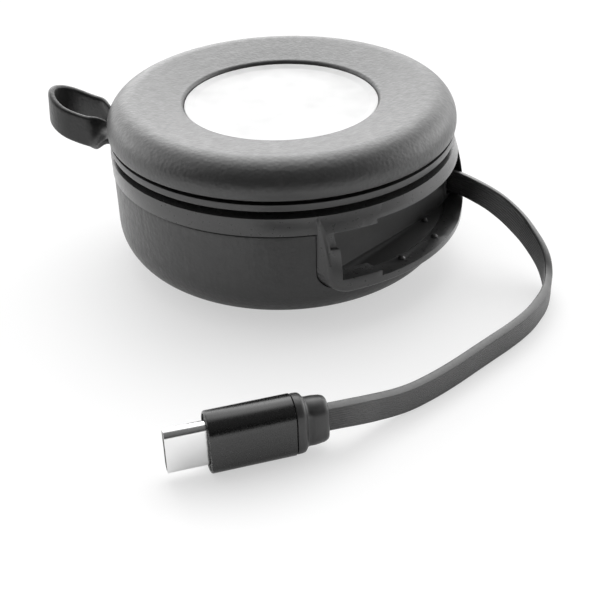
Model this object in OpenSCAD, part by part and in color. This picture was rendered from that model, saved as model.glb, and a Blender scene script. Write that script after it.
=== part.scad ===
// Round wireless charger with a leather cover, a strap loop, a plug bay in its side and a flat USB-C
// cable that a spring reel winds in. Millimetres, +Z up, origin on the floor at the centre of the base.

/* [Body] */
// Outer radius of the leather side
body_r = 33.9; // [33:0.1:36]
// Radius of the round under the leather side
skirt_round = 9; // [8:0.5:12]
// Thickness of the side leather with its foam
leather_t = 1.3; // [1:0.1:1.6]
// Thickness of the housing wall and floor
cup_wall = 1.8; // [1.4:0.1:2]
// Height of the housing rim
cup_top = 22.9; // [22.7:0.1:23.2]
// How far below the housing rim the leather ends at the plastic band
seam_drop = 2.9; // [2.4:0.1:4]
// How far the foot pad stays inside the body's side
foot_inset = 11.7; // [11.5:0.1:15]
// Thickness of the foot pad
foot_t = 1.6; // [1.5:0.1:1.8]

/* [Band and plug bay] */
// Thickness of the plastic band round the rim
band_t = 1.45; // [1.2:0.05:1.8]
// Thickness of the band's top flange
band_flange = 0.7; // [0.5:0.1:1]
// How far the domed face of the bay frame stands out past the leather
frame_bulge = 2.4; // [2:0.1:3]
// How far below the housing rim the centre of the frame's dome is
dome_drop = 11.8; // [11:0.1:12.4]
// Direction that the bay faces, in degrees
bay_az = -45; // [-50:1:-40]
// Depth of the bay, from the frame's face to its flat wall
bay_depth = 9.3; // [8.9:0.1:9.7]
// Left end of the bay opening, seen from outside
bay_left = -17.7; // [-18:0.1:-17]
// Right end of the bay opening, past the cable slot
bay_right = 21.6; // [21.4:0.1:22]
// Where the opening steps from the shell's height to the sleeve's height
bay_step = -10.3; // [-10.8:0.1:-9]
// How far below the housing rim the roof of the opening is
roof_drop = 1.7; // [1.6:0.1:2]
// Height of the opening beside the plug's sleeve
bay_h = 11.3; // [11.2:0.1:11.7]
// Steps in floor and roof to the lower opening beside the plug's shell
floor_step = 1.2; // [0.8:0.1:1.3]
roof_step = 0.8; // [0.4:0.1:1.2]
// Wall of the bay liner
liner_t = 1.2; // [0.9:0.1:1.3]
// Width of the frame's left bar and right bar
frame_bar_left = 2.2; // [2:0.1:3]
frame_bar_right = 2.6; // [2:0.1:3]
// Height of the frame's sill under the opening
frame_sill = 1.9; // [1.6:0.1:2.4]
// Radius of the frame's lower corners
frame_corner = 4; // [3:0.5:5]
// Height and depth of the thumb recess in the left bar
recess_h = 3; // [2:0.1:4]
recess_deep = 0.7; // [0.5:0.1:0.9]

/* [Pad] */
// Radius of the round that forms the leather dome
dome_round = 5.8; // [5:0.1:6]
// How far the pad stands out past the leather side
pad_out = 0.4; // [0:0.1:0.6]
// Height of the dome round's centre over the pad's underside
dome_lift = 0.5; // [0.4:0.1:0.9]
// Slope of the dome towards the disc, in degrees
dome_slope = 8.8; // [6:0.2:10]
// Thickness of the pad leather
pad_leather_t = 1.2; // [1:0.1:1.4]
// Height of the disc's underside over the pad's underside
disc_lift = 2.7; // [2.6:0.1:2.8]
// Width of the leather ring round the charging disc
pad_ring_w = 15.2; // [14:0.1:16]
// Width of the disc's sloped rim
disc_rim_w = 1.8; // [1:0.1:3]
// Thickness of the disc's plate
disc_t = 1.2; // [0.9:0.1:1.4]

/* [Carrier] */
// How far the strip between the grooves stands out past the leather side
strip_out = 0.1; // [-0.4:0.1:0.4]
// Thickness of the strip and height of the thin groove over it
strip_t = 1.3; // [1.1:0.05:1.5]
thin_groove_h = 0.65; // [0.5:0.05:0.8]
// Depth of the thick groove and of the thin groove
groove_deep = 3.4; // [3:0.1:3.6]
thin_groove_deep = 1.2; // [0.8:0.1:2]

/* [Reel] */
// Space between the bay liner and the reel's flanges
reel_space = 2.4; // [2.2:0.1:3]
// Radius of the reel hub
hub_r = 9.3; // [8:0.1:9.4]
// Radius of the steel axle
axle_r = 2; // [1.6:0.1:2.4]
// Running clearance between the axle and the reel
axle_gap = 0.05; // [0.03:0.01:0.08]
// Turns of cable on the reel
cable_turns = 6; // [4:1:6]
// Distance from one turn to the next
turn_pitch = 1.6; // [1.55:0.01:1.62]
// Turns of the power spring
spring_turns = 8; // [5:1:9]
// Thickness of the spring strip
spring_t = 0.25; // [0.15:0.05:0.35]
// Notches round the reel cap
notch_count = 8; // [8:8:16]
// Middle radius of the inner and of the outer contact ring, and their width
lane_inner = 5.9; // [5.6:0.1:6]
lane_outer = 8.7; // [8.5:0.1:9]
lane_w = 1.4; // [1:0.1:1.6]

/* [Cable and plug] */
// Width of the flat cable
cable_w = 5; // [4.6:0.1:5.2]
// Thickness of the flat cable
cable_t = 1.5; // [1.2:0.1:1.6]
// How far below the housing rim the cable's middle leaves the reel
cable_drop = 7.9; // [7.8:0.1:8.1]
// Width and thickness of the plug shell
shell_w = 8.34; // [8.3:0.01:8.4]
shell_t = 2.56; // [2.5:0.01:2.6]
// Length of the shell that shows
shell_len = 6.65; // [6.5:0.05:6.7]
// Wall of the shell
shell_wall = 0.3; // [0.2:0.05:0.35]
// Width, thickness and length of the plug's sleeve
sleeve_w = 11; // [10.4:0.1:11.4]
sleeve_t = 6.5; // [6:0.1:7]
sleeve_len = 14; // [12:0.1:16]
// Wall of the sleeve
sleeve_wall = 0.5; // [0.4:0.05:0.7]

/* [Strap] */
// Direction that the strap loop points, in degrees
strap_az = 168.5; // [165:0.5:174]
// Width and thickness of the leather strap
strap_w = 6.4; // [6:0.1:7]
strap_t = 1.3; // [1:0.05:1.35]
// Radius of the loop's round end, to the middle of the strap
strap_bend = 4.9; // [4.4:0.1:5.4]
// Distance from the leather side to the middle of the loop's round end
strap_reach = 8.5; // [8:0.1:12]
// How far the strap turns up on edge by the loop's end, in degrees
strap_bank = 86; // [60:1:90]
// How far the loop rises to its end
strap_rise = 4.4; // [0:0.2:5]

/* [Hidden] */

$fn = 96;
seat = 0.05;
far = 60;

foot_r = body_r - foot_inset;
cup_r = body_r - leather_t;
cup_inner_r = cup_r - cup_wall;
cup_floor = foot_t + cup_wall;
cup_round = skirt_round - leather_t;
ground_gap = foot_t - leather_t;
band_r0 = cup_r + seat;
band_r = band_r0 + band_t;
band_top = cup_top + band_flange;
seam_z = cup_top - seam_drop;
strap_gap = 0.15;
strip_z0 = band_top + strap_t + strap_gap;
strip_z1 = strip_z0 + strip_t;
pad_z = strip_z1 + thin_groove_h;
dome_z = pad_z + dome_lift;
disc_under = pad_z + disc_lift;
cable_z = cup_top - cable_drop;
bay_roof = cup_top - roof_drop;
bay_floor = bay_roof - bay_h;
bay_floor_small = bay_floor + floor_step;
bay_roof_small = bay_roof - roof_step;
frame_bottom = bay_floor - frame_sill;
frame_dome_z = cup_top - dome_drop;
recess_z = bay_roof_small - recess_h;
frame_left = bay_left - frame_bar_left;
frame_right = bay_right + frame_bar_right;
frame_r = body_r + frame_bulge;
bay_wall_x = frame_r - bay_depth;
liner_x = bay_wall_x - liner_t;
liner_left = bay_left - liner_t;

cable_out_y = hub_r + cable_turns * turn_pitch + 0.4 + cable_t / 2;
guide_half = cable_t / 2 + 1.15;
guide_half_h = cable_w / 2 + 1.6;
guide_left = cable_out_y - guide_half;
guide_right = cable_out_y + guide_half;
guide_z0 = cable_z - guide_half_h;
guide_z1 = cable_z + guide_half_h;
guide_x0 = liner_x - 5.8;

dome_r = body_r + pad_out - dome_round;
disc_r = body_r + pad_out - pad_ring_w;
disc_flat_r = disc_r - disc_rim_w;
strip_r = body_r + strip_out;
neck_r = strip_r - groove_deep;
thin_neck_r = strip_r - thin_groove_deep;

plate_t = 1.2;
plate_z0 = cup_top - 2;
plate_z1 = plate_z0 + plate_t;
carrier_floor = plate_z1 + plate_t;
pillar_r = 2.6;
pillar_at = cup_inner_r - 3.6;
pillar_azimuths = [62, 152, 242];
carrier_screw_azimuths = [25, 130, 215];
neck_wall = 1.8;
carrier_screw_at = neck_r - 5.2;
flange_out = disc_r + 3.2;
stack_r = flange_out - 1.3;
board_r = stack_r - 0.8;
board_z = carrier_floor + 1.4;
board_t = 1;
chip_w = 6;
chip_t = 0.9;
inductor_t = 1.7;
resistor_l = 1.6;
board_screw_at = board_r - 2.8;
board_screw_azimuths = [0, 120, 240];
coil_wire = 1.2;
coil_pitch = 1.22;
coil_turns = 9;
coil_r0 = stack_r - 11.4;
ferrite_t = 0.8;

cable_low = cable_z - cable_w / 2;
web_z1 = cable_low - 0.2;
web_z0 = web_z1 - 1.2;
cap_z0 = cable_z + cable_w / 2 + 0.2;
cap_z1 = cap_z0 + 1.1;
flange_r = liner_x - reel_space;
barrel_r = flange_r - 1.4;
barrel_wall = 1.4;
barrel_z0 = cup_floor + 1.5;
cover_t = 0.8;
post_r = 3;
post_shoulder = web_z0 - 0.1;
spring_z0 = barrel_z0 + cover_t + 0.3;
spring_z1 = web_z0 - 0.4;
hub_shell = 1.6;
hub_boss_r = 4;

pawl_az = 105;
pawl_x = flange_r + 3.6;
pawl_y = 4;
pawl_pin_r = 0.8;
pawl_hub_r = 1.8;
pawl_z0 = cap_z0 + 0.1;
pawl_z1 = cap_z1 - 0.1;
pawl_pin_z0 = cap_z0 - 3.2;
pawl_nose_x = flange_r + 1;
pawl_nose_y = -3;
notch_r = 2.4;
notch_at = flange_r + 0.6;
notch_az = pawl_az - 6.2;

strap_root = band_r0 - 1.25;
strap_pin_at = band_r0 - 0.75;
strap_pin_r = 0.6;
strap_end = body_r + strap_reach;
strap_turn_from = body_r + 1;
strap_turn_to = body_r + 9;

plug_x = -13.7;
plug_y = -71.9;
plug_az = 15;
ring_len = 1.8;
neck_len = 0.9;
collar_len = 2.9;

// Middle line of the flat cable, from where it leaves the reel to the back of the plug
route = [[14.2, 14.2, 15], [20.2, 8.2, 15], [26.2, 2.2, 15], [30.2, -1.8, 15], [33.2, -4.8, 15],
    [35.4, -6.8, 14.9], [37.9, -9, 14.4], [40.8, -11.1, 13.3], [43.7, -13, 11.4], [46.4, -15.3, 9],
    [48.3, -18.1, 6.9], [49.4, -20.6, 5.2], [49.8, -23, 3.7], [49.6, -25.4, 2.9], [48.9, -28, 2.6],
    [47.7, -31, 2.5], [46, -34, 2.5], [44, -37, 2.5], [41.6, -39.8, 2.5], [38.8, -42.6, 2.5],
    [35.7, -45.4, 2.5], [32.4, -48.4, 2.5], [29, -51.5, 2.5], [25.6, -54.4, 2.5], [22.6, -56.8, 2.6],
    [19.8, -58.9, 2.8], [16.9, -60.9, 3.3], [13.8, -62.8, 4], [10.9, -64.7, 4.9],
    [8.1, -66.1, 5.5], [5.3, -66.8, 5.5]];

// Shapes in the plane of a revolve, with a rounded lower edge
module rounded_disc_2d(r, round_r, z0, z1) {
    translate([0, z0]) square([r - round_r, z1 - z0]);
    translate([0, z0 + round_r]) square([r, z1 - z0 - round_r]);
    intersection() {
        translate([r - round_r, z0 + round_r]) circle(round_r);
        translate([0, z0]) square([r, round_r + 0.5]);
    }
}

module ring(r0, r1, z0, z1) {
    translate([0, 0, z0]) difference() {
        cylinder(r = r1, h = z1 - z0);
        translate([0, 0, -1]) cylinder(r = r0, h = z1 - z0 + 2);
    }
}

module disc(r, z0, z1) {
    translate([0, 0, z0]) cylinder(r = r, h = z1 - z0);
}

module at_polar(az, r) {
    rotate([0, 0, az]) translate([r, 0, 0]) children();
}

// Frame of the bay: X outward, Y along the bay, Z up
module in_bay() {
    rotate([0, 0, bay_az]) children();
}

// A plate whose outline is drawn in the bay's Y and Z, from x0 outward to x1
module bay_prism(x0, x1) {
    in_bay() translate([x0, 0, 0]) rotate([90, 0, 90]) linear_extrude(x1 - x0) children();
}

module low_rounded_2d(y0, y1, z0, z1, r) {
    translate([y0, z0 + r]) square([y1 - y0, z1 - z0 - r]);
    translate([y0 + r, z0]) square([y1 - y0 - 2 * r, r + 1]);
    translate([y0 + r, z0 + r]) circle(r);
    translate([y1 - r, z0 + r]) circle(r);
}

module frame_outline_2d(grow) {
    low_rounded_2d(frame_left - grow, frame_right + grow, frame_bottom - grow, band_top, frame_corner);
}

module opening_2d() {
    translate([bay_left, bay_floor_small])
        square([bay_step - bay_left + 1, bay_roof_small - bay_floor_small]);
    translate([bay_step, bay_floor]) square([bay_right - bay_step, bay_roof - bay_floor]);
}

module bay_box(x0, x1, y0, y1, z0, z1) {
    in_bay() translate([x0, y0, z0]) cube([x1 - x0, y1 - y0, z1 - z0]);
}

module ramp(x0, x1) {
    bay_prism(x0, x1) polygon([[bay_right - 7, bay_floor - 0.3], [bay_right + 0.5, bay_floor - 0.3],
        [bay_right + 0.5, cable_low - 0.6], [bay_right - 0.9, cable_low - 0.6]]);
}

module obround_2d(w, t) {
    square([w - t, t], center = true);
    for (side = [-1, 1]) translate([side * (w - t) / 2, 0]) circle(t / 2);
}

module foot_pad() {
    edge = 0.6;
    color("#2b2b2b") rotate_extrude() difference() {
        union() {
            square([foot_r - edge, foot_t]);
            translate([0, edge]) square([foot_r, foot_t - edge]);
            translate([foot_r - edge, edge]) circle(edge);
        }
        for (inset = [3.6, 6.8]) translate([foot_r - inset, -1]) square([1.2, 1.4]);
    }
}

module base_cup() {
    color("#303030") difference() {
        union() {
            difference() {
                rotate_extrude() difference() {
                    rounded_disc_2d(cup_r, cup_round, foot_t, cup_top);
                    rounded_disc_2d(cup_inner_r, cup_round - cup_wall, cup_floor, cup_top + 1);
                }
                bay_box(guide_x0, far, liner_left - seat, guide_left + seat, bay_floor - liner_t - seat, cup_top + 1);
                bay_box(guide_x0, far, guide_left - seat, guide_right + seat, guide_z0 - seat, guide_z1 + seat);
            }
            disc(4, cup_floor - 0.5, barrel_z0 + 0.1);
            intersection() {
                union() {
                    for (az = pillar_azimuths) at_polar(az, pillar_at) disc(pillar_r, foot_t, plate_z0);
                    rotate([0, 0, pawl_az]) translate([pawl_x, pawl_y, 0]) disc(2, foot_t, pawl_z0 - 0.2);
                    bay_box(guide_x0 + 0.4, guide_x0 + 6, guide_left, guide_right, foot_t, guide_z0 - seat);
                }
                rotate_extrude() rounded_disc_2d(cup_r - 0.4, cup_round - 0.4, foot_t + 0.4, cup_top);
            }
        }
        disc(axle_r + 0.01, foot_t + 0.8, far);
        disc(post_r + 0.01, cup_floor + 0.4, far);
        for (az = pillar_azimuths) at_polar(az, pillar_at) disc(0.85, plate_z0 - 8, far);
        rotate([0, 0, pawl_az]) translate([pawl_x, pawl_y, 0]) disc(pawl_pin_r + 0.01, pawl_pin_z0, far);
    }
}

module side_leather() {
    color("#3a3a3a") difference() {
        rotate_extrude() difference() {
            rounded_disc_2d(body_r, skirt_round, ground_gap, seam_z);
            rounded_disc_2d(cup_r, cup_round, foot_t, seam_z + 1);
            translate([0, -1]) square([foot_r + 0.3, far]);
        }
        bay_prism(10, far) frame_outline_2d(0.15);
    }
}

module bezel_band() {
    color("#323232") difference() {
        union() {
            ring(band_r0, band_r, seam_z + seat, band_top);
            ring(neck_r + 0.3, band_r, cup_top + seat, band_top);
            frame_block();
        }
        bay_prism(guide_x0, far) opening_2d();
        bay_box(guide_x0, bay_wall_x + 0.02, guide_left - 1, guide_right, bay_floor - 0.4, bay_roof);
        frame_pocket();
        strap_slot();
    }
    color("#323232") difference() {
        intersection() {
            ramp(bay_wall_x + 0.1, far);
            frame_dome(0);
        }
        bay_prism(0, far) translate([bay_right - 0.02, 0]) square([5, far]);
    }
    color("#323232") for (spot = [[frame_r - 2.7, -3.3], [frame_r - 3.1, 7.1]])
        in_bay() translate([spot[0], spot[1], bay_floor - 0.2]) pip(0.7);
}

module frame_dome(cut) {
    rotate_extrude() intersection() {
        translate([0, frame_dome_z]) circle(frame_r - cut);
        translate([band_r0, frame_bottom - 1]) square([frame_r - band_r0 + 1, band_top - frame_bottom + 1]);
    }
}

module frame_block() {
    intersection() {
        frame_dome(0);
        bay_prism(5, far) frame_outline_2d(0);
    }
}

// Shallow thumb recess in the left bar, of one depth under the domed face
module frame_pocket() {
    behind_band = sqrt(band_r0 * band_r0 - bay_left * bay_left) + 0.3;
    difference() {
        bay_box(behind_band, far, frame_left + 0.7, bay_left + 0.2, recess_z, bay_roof_small);
        frame_dome(recess_deep);
    }
}

// Notch in the rim where the two ends of the strap lie
module strap_slot() {
    rotate([0, 0, strap_az]) for (side = [-1, 1])
        translate([strap_pin_at, side * strap_bend, cup_top - 1]) cylinder(r = strap_pin_r + 0.02, h = 5);
}

module bay_liner() {
    color("#262626") {
        intersection() {
            difference() {
                bay_box(liner_x, far, liner_left, guide_left - seat, bay_floor - liner_t, plate_z1 - 0.1);
                bay_box(bay_wall_x, far, bay_left, guide_left + 1, bay_floor, bay_roof);
            }
            disc(cup_r - seat, 0, far);
        }
        intersection() {
            ramp(bay_wall_x - 0.1, far);
            bay_box(0, far, 0, guide_left - seat, 0, far);
            disc(cup_r - seat, 0, far);
        }
        for (spot = [[bay_wall_x + 1.5, -14], [bay_wall_x + 0.9, 10.9]])
            in_bay() translate([spot[0], spot[1], bay_floor - 0.2]) pip(0.7);
    }
}

// Rounded pip that keeps the plug from rattling
module pip(r) {
    cylinder(r = r, h = 0.45);
    translate([0, 0, 0.4]) cylinder(r1 = r, r2 = r * 0.5, h = 0.4);
}

module cable_guide() {
    color("#1f1f1f") difference() {
        intersection() {
            bay_box(guide_x0 + 0.4, bay_wall_x, guide_left, guide_right, guide_z0, guide_z1);
            disc(frame_r - 2.2, 0, far);
        }
        bay_box(0, far, cable_out_y - cable_t / 2 - 0.35, cable_out_y + cable_t / 2 + 0.35,
            cable_low - 0.4, cable_low + cable_w + 0.4);
        for (side = [-1, 1]) in_bay() translate([guide_x0 + 0.4, cable_out_y, cable_low - 0.4])
            rotate([0, 0, side * 35]) translate([-2, -0.7, 0]) cube([3.4, 1.4, cable_w + 0.8]);
    }
}

module mid_plate() {
    color("#3d3d3d") difference() {
        union() {
            disc(cup_inner_r - 0.1, plate_z0, plate_z1);
            disc(4.4, plate_z0 - 1, plate_z1);
            for (az = carrier_screw_azimuths) at_polar(az, carrier_screw_at) disc(1.9, plate_z0 - 1, plate_z1);
        }
        bay_box(liner_x - 0.3, far, -far, far, 0, far);
        disc(axle_r + 0.02, 0, far);
        for (az = pillar_azimuths) at_polar(az, pillar_at) disc(1.1, 0, far);
        for (az = carrier_screw_azimuths) at_polar(az, carrier_screw_at) disc(0.75, 0, far);
        for (side = [-1, 1]) translate([lane_outer - 1.5, side * 3, plate_z0 - 1]) cube([4, 1, 5]);
    }
}

module screw(r, head_r, length, head_h) {
    difference() {
        union() {
            cylinder(r = head_r, h = head_h);
            translate([0, 0, -length]) cylinder(r = r, h = length + 0.1);
        }
        translate([0, 0, head_h - 0.5]) for (turn = [0, 90]) rotate([0, 0, turn])
            cube([head_r * 1.2, 0.35, 1.2], center = true);
    }
}

module mid_screws() {
    color("silver") for (az = pillar_azimuths) at_polar(az, pillar_at)
        translate([0, 0, plate_z1]) screw(0.82, 1.6, 7, 0.7);
}

module top_carrier() {
    color("#2e2e2e") difference() {
        union() {
            disc(neck_r, plate_z1, carrier_floor);
            ring(neck_r - neck_wall, neck_r, plate_z1, strip_z1);
            ring(neck_r - neck_wall, strip_r, strip_z0, strip_z1);
            ring(neck_r - neck_wall, thin_neck_r, strip_z1 - 0.1, pad_z);
            ring(stack_r + 0.15, flange_out - 0.1, carrier_floor - 0.1, disc_under);
            for (az = board_screw_azimuths) at_polar(az, board_screw_at) disc(1.7, carrier_floor - 0.1, board_z);
        }
        for (az = pillar_azimuths) at_polar(az, pillar_at) disc(2.2, 0, plate_z1 + 0.85);
        for (az = carrier_screw_azimuths) at_polar(az, carrier_screw_at) disc(0.95, 0, far);
        for (az = board_screw_azimuths) at_polar(az, board_screw_at) disc(0.55, carrier_floor, far);
        disc(axle_r + 1.2, 0, carrier_floor + 0.5);
        rotate([0, 0, 90]) translate([stack_r - 1, -2, board_z + board_t]) cube([3, 4, 3]);
        translate([lane_outer - 1.5, -4.6, 0]) cube([4, 9.2, carrier_floor + 1]);
        strap_slot();
    }
}

module carrier_screws() {
    color("silver") for (az = carrier_screw_azimuths) at_polar(az, carrier_screw_at)
        translate([0, 0, carrier_floor]) screw(0.72, 1.5, 2.8, 0.9);
}

// Tangent line of the dome round, and the region under it
function dome_normal() = [-sin(dome_slope), cos(dome_slope)];
function dome_line_z(r, cut) = (dome_normal()[0] * (dome_r - r) + dome_normal()[1] * dome_z
    + dome_round - cut - 0.005) / dome_normal()[1];

module dome_2d(cut, r_in) {
    difference() {
        union() {
            translate([dome_r, dome_z]) circle(dome_round - cut);
            translate([r_in, pad_z]) square([dome_r - r_in, dome_z + dome_round - pad_z]);
        }
        polygon([[0, dome_line_z(0, cut)], [dome_r, dome_line_z(dome_r, cut)], [dome_r, far], [0, far]]);
        translate([0, pad_z - far]) square([far, far]);
        square([r_in, far]);
    }
}

module pad_core() {
    color("#8a8578") rotate_extrude() difference() {
        dome_2d(pad_leather_t, disc_r + 1.25);
        square([flange_out, disc_under + 0.8]);
    }
}

module top_leather() {
    lip = 0.8;
    lip_z = dome_line_z(disc_r + lip, 0) - lip;
    color("#444444") rotate_extrude() difference() {
        union() {
            difference() {
                dome_2d(0, disc_r);
                translate([disc_r - 1, lip_z]) square([lip + 1, far]);
            }
            translate([disc_r + lip, lip_z]) circle(lip);
        }
        dome_2d(pad_leather_t, disc_r + 1.25);
        square([flange_out + 0.1, disc_under + 0.8]);
    }
}

module charging_disc() {
    top = disc_under + disc_t;
    rim = dome_line_z(disc_r, 0) - 0.6;
    color("white") rotate_extrude() polygon([[0, disc_under], [flange_out - 0.1, disc_under],
        [flange_out - 0.1, disc_under + 0.75], [disc_r - 0.1, disc_under + 0.75], [disc_r - 0.1, rim],
        [disc_r - 0.3, rim], [disc_flat_r, top], [0, top]]);
}

module charging_coil() {
    color("#b87333") {
        rotate_extrude() for (i = [0 : coil_turns - 1])
            translate([coil_r0 + i * coil_pitch, disc_under - coil_wire / 2]) {
                circle(coil_wire / 2, $fn = 32);
                if (i < coil_turns - 1) translate([0, -0.3]) square([coil_pitch, 0.6]);
            }
    }
}

module ferrite_plate() {
    top = disc_under - coil_wire;
    color("#4a4a50") difference() {
        ring(2.5, stack_r - 0.1, top - ferrite_t, top);
        rotate([0, 0, 90]) translate([6, -1.2, top - 2]) cube([stack_r, 2.4, 3]);
    }
}

module circuit_board() {
    color("#1d5c3a") difference() {
        disc(board_r, board_z, board_z + board_t);
        for (az = board_screw_azimuths) at_polar(az, board_screw_at) disc(0.8, 0, far);
        at_polar(90, board_r + 0.4) disc(1.8, 0, far);
    }
}

module board_parts() {
    z = board_z + board_t;
    color("#202020") {
        translate([-chip_w / 2, -chip_w / 2, z]) cube([chip_w, chip_w, chip_t]);
        translate([-board_r * 0.55, chip_w / 3, z]) cube([chip_w * 0.65, chip_w * 0.65, chip_t]);
        translate([chip_w, chip_w * 0.8, z]) difference() {
            cube([chip_w, chip_w, inductor_t]);
            translate([chip_w / 2, chip_w / 2, inductor_t - 0.4]) cylinder(r = chip_w * 0.36, h = 1);
        }
        for (i = [0 : 4]) translate([-board_r / 2 + i * resistor_l * 1.5, -board_r * 0.45, z])
            cube([resistor_l, resistor_l / 2, chip_t * 0.8]);
        for (i = [0 : 3]) translate([board_r / 4, -board_r * 0.45 + i * resistor_l * 1.4, z])
            cube([resistor_l * 2, resistor_l, chip_t * 1.4]);
    }
}

module board_screws() {
    color("silver") for (az = board_screw_azimuths) at_polar(az, board_screw_at)
        translate([0, 0, board_z + board_t]) screw(0.52, 1.1, 2, 0.6);
}

module centre_post() {
    color("lightsteelblue") difference() {
        union() {
            disc(axle_r, foot_t + 0.8, plate_z1 - 0.1);
            disc(post_r, cup_floor + 0.4, post_shoulder);
        }
        translate([-0.3, -0.3, spring_z0 - 0.2]) cube([post_r + 1, 0.6, spring_z1 - spring_z0 + 0.2]);
    }
}

module reel() {
    color("#d8d6cf") difference() {
        union() {
            disc(flange_r, web_z0, web_z1);
            ring(barrel_r - barrel_wall, barrel_r, barrel_z0 + cover_t, web_z0 + 0.1);
            ring(hub_r - hub_shell, hub_r, web_z1 - 0.1, cap_z0);
            disc(hub_boss_r, web_z1 - 0.1, cap_z0);
            for (i = [0 : 4]) rotate([0, 0, i * 72 + 20]) translate([hub_boss_r - 0.5, -0.6, web_z1 - 0.1])
                cube([hub_r - hub_boss_r - 0.6, 1.2, cap_z0 - web_z1 + 0.1]);
        }
        disc(axle_r + axle_gap, 0, far);
        rotate([0, 0, 200]) translate([hub_r - hub_shell - 1, -0.8, cable_low + 0.1])
            cube([hub_shell + 2, 1.6, cable_w]);
    }
}

module reel_cap() {
    color("#c9c7c0") difference() {
        disc(flange_r, cap_z0, cap_z1);
        disc(axle_r + axle_gap, 0, far);
        for (i = [0 : notch_count - 1]) at_polar(notch_az + i * 360 / notch_count, notch_at)
            disc(notch_r, cap_z0 - 1, cap_z1 + 1);
        for (i = [0 : 4]) at_polar(i * 72 + 56, 15) disc(2.6, cap_z0 - 1, cap_z1 + 1);
    }
}

module wound_cable() {
    r = 0.4;
    color("#232323") rotate_extrude() for (i = [0 : cable_turns - 1])
        translate([hub_r + i * turn_pitch, cable_low]) {
            translate([r, 0]) square([turn_pitch - 2 * r, cable_w]);
            translate([0, r]) square([turn_pitch, cable_w - 2 * r]);
            for (x = [r, turn_pitch - r], z = [r, cable_w - r]) translate([x, z]) circle(r, $fn = 32);
        }
}

// The strip's turns crowd towards the barrel wall, as they do when little of the spring is wound up
function spring_radius(u) = post_r + 0.5 + (barrel_r - barrel_wall - 0.9 - post_r) * sqrt(u);

module power_spring() {
    steps = spring_turns * 24;
    inner = [for (i = [0 : steps]) let (u = i / steps, a = i * 15, r = spring_radius(u)) [r * cos(a), r * sin(a)]];
    outer = [for (i = [steps : -1 : 0]) let (u = i / steps, a = i * 15, r = spring_radius(u) + spring_t)
        [r * cos(a), r * sin(a)]];
    color("silver") {
        translate([0, 0, spring_z0]) linear_extrude(spring_z1 - spring_z0) polygon(concat(inner, outer));
        translate([0.4, -spring_t / 2, spring_z0])
            cube([post_r + 0.3, spring_t, spring_z1 - spring_z0]);
    }
}

module spring_cover() {
    color("#bdbbb4") ring(4.6, barrel_r, barrel_z0, barrel_z0 + cover_t);
}

module contact_rings() {
    color("goldenrod") {
        for (lane = [lane_inner, lane_outer])
            ring(lane - lane_w / 2, lane + lane_w / 2, cap_z1, cap_z1 + 0.3);
    }
}

module contact_fingers() {
    color("goldenrod") for (lane = [[lane_inner, -0.6], [lane_outer, 0.9]]) rotate([0, 0, lane[1]])
        translate([lane[0] - 0.5, 0, 0]) rotate([90, 0, 90]) linear_extrude(1)
            polygon([[-5, plate_z0], [-5, plate_z0 - 0.5], [-2, plate_z0 - 0.5], [0, cap_z1 + 0.6],
                [0.6, cap_z1 + 0.6], [1.4, cap_z1 + 1], [1.2, cap_z1 + 1.2], [0.4, cap_z1 + 0.85],
                [-1.8, plate_z0 - 0.25], [-1.8, plate_z0]]);
}

module pawl() {
    reach_x = pawl_nose_x - pawl_x;
    reach_y = pawl_nose_y - pawl_y;
    angle = atan2(reach_y, reach_x);
    color("#e0ded6") rotate([0, 0, pawl_az]) translate([pawl_x, pawl_y, 0]) difference() {
        union() {
            disc(pawl_hub_r, pawl_z0 - 0.1, pawl_z1 + 0.5);
            rotate([0, 0, angle]) translate([0, -0.55, pawl_z0])
                cube([norm([reach_x, reach_y]), 1.1, pawl_z1 - pawl_z0]);
            translate([reach_x, reach_y, 0]) disc(0.7, pawl_z0, pawl_z1);
            rotate([0, 0, angle + 180]) translate([0, -0.5, pawl_z0]) cube([3, 1, pawl_z1 - pawl_z0]);
        }
        disc(pawl_pin_r + axle_gap, 0, far);
    }
}

module pawl_pin() {
    color("silver") rotate([0, 0, pawl_az]) translate([pawl_x, pawl_y, 0]) {
        disc(pawl_pin_r, pawl_pin_z0, pawl_z1 + 0.8);
        disc(pawl_pin_r + 0.6, pawl_z1 + 0.7, pawl_z1 + 1.3);
    }
}

// Leaf from the housing wall to the pawl's tail
module pawl_spring() {
    wall_x = pawl_x + 0.8;
    wall_y = sqrt(cup_inner_r * cup_inner_r - wall_x * wall_x) - 0.06;
    color("silver") rotate([0, 0, pawl_az]) translate([0, 0, pawl_z0 + 0.1]) linear_extrude(0.7)
        polygon([[wall_x, wall_y], [wall_x - 0.4, wall_y + 0.1], [pawl_x + 1.65, pawl_y + 2.6],
            [pawl_x + 1.85, pawl_y + 2.6]]);
}

// Middle line of the strap: out along one side, round the end and back, rising towards the end
function strap_z(x) = strap_rise * pow(max(x - strap_turn_from, 0) / (strap_end + strap_bend - strap_turn_from), 2);
function strap_path() = let (leg = [for (i = [0 : 7]) strap_root + i * (strap_end - strap_root) / 8]) concat(
    [for (x = leg) [x, -strap_bend, strap_z(x)]],
    [for (i = [0 : 12]) let (a = -90 + i * 15, x = strap_end + strap_bend * cos(a))
        [x, strap_bend * sin(a), strap_z(x)]],
    [for (i = [7 : -1 : 0]) [leg[i], strap_bend, strap_z(leg[i])]]);

function smooth(x) = x <= 0 ? 0 : x >= 1 ? 1 : x * x * (3 - 2 * x);
function strap_turn(x) = smooth((x - strap_turn_from) / (strap_turn_to - strap_turn_from));

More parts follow.
